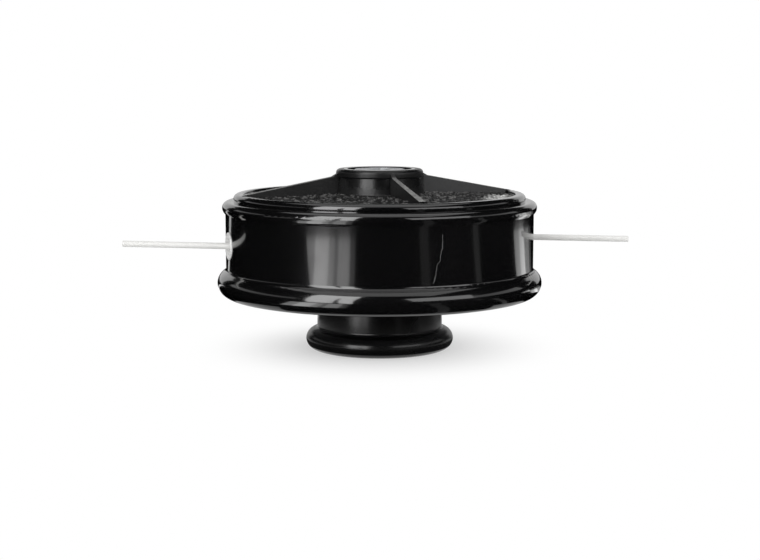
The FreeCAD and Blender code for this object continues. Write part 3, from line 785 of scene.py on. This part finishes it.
# Cards on the floor: inner and outer radius, first and last angle, and brightness.
floorCards = {
    "card_front": (0.03, 2.5, -16.0, 27.0, 0.0),
    "card_streak": (0.03, 2.5, 27.0, 33.0, 0.12),
    "card_middle": (0.03, 2.5, 33.0, 67.5, 0.0),
    "card_thin": (0.03, 2.5, 67.5, 72.0, 0.18),
    "card_right": (0.03, 2.5, 72.0, 110.0, 0.0),
    "card_back": (0.17, 2.5, 143.0, 217.5, 0.0),
    "card_left_streak": (0.03, 2.5, -142.5, -138.0, 0.9),
    "card_left": (0.03, 2.5, -138.0, -51.0, 0.0),
    "card_window_left": (0.09, 0.52, -51.0, -44.0, 1.75),
    "card_window_bright": (0.09, 0.52, -44.0, -34.0, 3.6),
    "card_window_inner": (0.09, 0.52, -34.0, -30.0, 2.0),
    "card_window_bar": (0.09, 0.52, -30.0, -27.5, 0.9),
    "card_window_right": (0.09, 0.52, -27.5, -19.5, 1.95),
    "card_window_edge": (0.09, 0.52, -19.5, -16.0, 0.5),
    "card_window_near": (0.03, 0.09, -51.0, -16.0, 0.0),
    "card_window_far": (0.52, 2.5, -51.0, -16.0, 0.0),
    "card_band_near": (0.03, 0.12, 110.0, 143.0, 0.0),
    "card_band_first": (0.12, 0.52, 110.0, 118.0, 1.0),
    "card_band": (0.12, 0.52, 118.0, 126.5, 1.6),
    "card_band_last": (0.12, 0.52, 126.5, 137.0, 0.4),
    "card_band_edge": (0.12, 0.52, 137.0, 143.0, 0.1),
    "card_band_far": (0.52, 2.5, 110.0, 143.0, 0.0),
}
# Cards laid over those, with a lean as well: dark round the knob's foot, pale under the drum and its lip,
# and the window's dark slanting edge, whose near end leans in.
raisedCards = {
    "card_foot": (0.02, 0.038, 0.0, 360.0, 0.03, 0.0),
    "card_under": (0.038, 0.056, 0.0, 360.0, 0.4, 0.0),
    "card_under_left": (0.056, 0.072, -160.0, -50.0, 0.45, 0.0),
    "card_under_right": (0.056, 0.072, 60.0, 160.0, 0.45, 0.0),
    "card_window_lean": (0.20, 0.52, -62.0, -51.0, 0.0, 9.4),
}
# Standing screens round the floor: radius, first and last angle, lower and upper edge, and brightness.
screens = {
    "screen_right": (2.4, -51.0, 144.0, 0.0, 2.4, 0.0),
    "screen_right_strip": (2.3, 66.0, 118.0, 0.42, 1.0, 0.5),
    "screen_left": (2.4, -144.0, -51.0, 0.0, 2.4, 0.0),
    "screen_left_strip": (2.3, -130.0, -60.0, 0.42, 0.8, 0.4),
    "screen_back": (2.4, 144.0, 216.0, 0.0, 1.0, 0.55),
    "screen_back_high": (2.4, 144.0, 216.0, 1.0, 2.4, 0.0),
}
for name, (inner, outer, start, end, level) in floorCards.items():
    reflectionOnly(sectorMesh(name, inner, outer, start, end, studio["cardLift"]), level)
for name, (inner, outer, start, end, level, lean) in raisedCards.items():
    reflectionOnly(sectorMesh(name, inner, outer, start, end, 2.0 * studio["cardLift"], lean), level)
for name, (radius, start, end, low, high, level) in screens.items():
    reflectionOnly(screenMesh(name, radius, start, end, low, high), level)
roof = sectorMesh("screen_top", studio["pinhole"], studio["roofRadius"], 0.0, 360.0, studio["roofHeight"])
reflectionOnly(roof, 0.0)
print("cards laid")


def facing(azimuth, elevation, distance):
    # A place round and above the object, and the turn and rise by which something there faces its middle.
    turn = math.radians(view["azimuth"] + azimuth)
    rise = math.radians(elevation)
    flat = distance * math.cos(rise)
    height = studio["middle"] + distance * math.sin(rise)
    return (flat * math.sin(turn), -flat * math.cos(turn), height), turn, rise


def softBox(name, azimuth, elevation, distance, width, height, power):
    # A rectangular light that faces the object.
    data = bpy.data.lights.new(name, "AREA")
    data.shape = "RECTANGLE"
    data.size = width
    data.size_y = height
    data.energy = power
    light = addObject(name, data)
    light.location, turn, rise = facing(azimuth, elevation, distance)
    light.rotation_euler = (math.pi / 2.0 - rise, 0.0, turn)


def panel(name, azimuth, elevation, distance, width, height, level):
    # A rectangular card that faces the object: corners half a width aside and half a height up and down.
    place, turn, rise = facing(azimuth, elevation, distance)
    aside = np.array((math.cos(turn), math.sin(turn), 0.0)) * width / 2.0
    back = math.sin(rise)
    upward = np.array((-back * math.sin(turn), back * math.cos(turn), math.cos(rise))) * height / 2.0
    corners = np.array(place) + np.array((-aside - upward, aside - upward, aside + upward, upward - aside))
    card = addMesh(name, corners, [(0, 1, 2, 3)])
    reflectionOnly(card, level)


# Lights, and the bright panels in front of them: azimuth, elevation, distance, width, height, and power
# or brightness.
lights = {
    "window_left": (-40.5, 25.0, 0.95, 0.33, 0.90, 0.9),
    "window_right": (-22.0, 25.0, 0.95, 0.17, 0.90, 0.5),
    "fill_light": (44.0, 22.0, 1.0, 0.80, 0.42, 3.0),
    "top_light": (0.0, 88.0, 1.1, 1.4, 1.4, 5.0),
}
panels = {
    "panel_left": (-40.5, 25.0, 0.93, 0.33, 0.90, 4.7),
    "panel_right": (-22.0, 25.0, 0.93, 0.17, 0.90, 4.6),
    "panel_fill": (44.0, 22.0, 0.98, 0.80, 0.42, 1.7),
}
for name, placed in lights.items():
    softBox(name, *placed)
for name, placed in panels.items():
    panel(name, *placed)


def studioWorld():
    # White to look at and in reflections, greyer overhead, and a little dimmer as light.
    world = bpy.data.worlds.new("studio")
    tree, output = clearTree(world, "ShaderNodeOutputWorld")
    direction = tree.nodes.new("ShaderNodeTexCoord").outputs["Generated"]
    rise = axesOf(tree, direction)[2]
    sky = tree.nodes.new("ShaderNodeBackground")
    fade = rangeNode(tree, rise, *studio["skyFade"])
    setInput(tree, sky.inputs["Color"], mixColour(tree, fade, studio["white"], studio["skyHigh"]))
    level = rangeNode(tree, seenDirectly(tree), 0.0, 1.0, studio["skyLight"], 1.0)
    setInput(tree, sky.inputs["Strength"], level)
    tree.links.new(sky.outputs[0], output.inputs["Surface"])
    bpy.context.scene.world = world


studioWorld()
bpy.context.scene.view_settings.view_transform = "Standard"
print("studio lit")
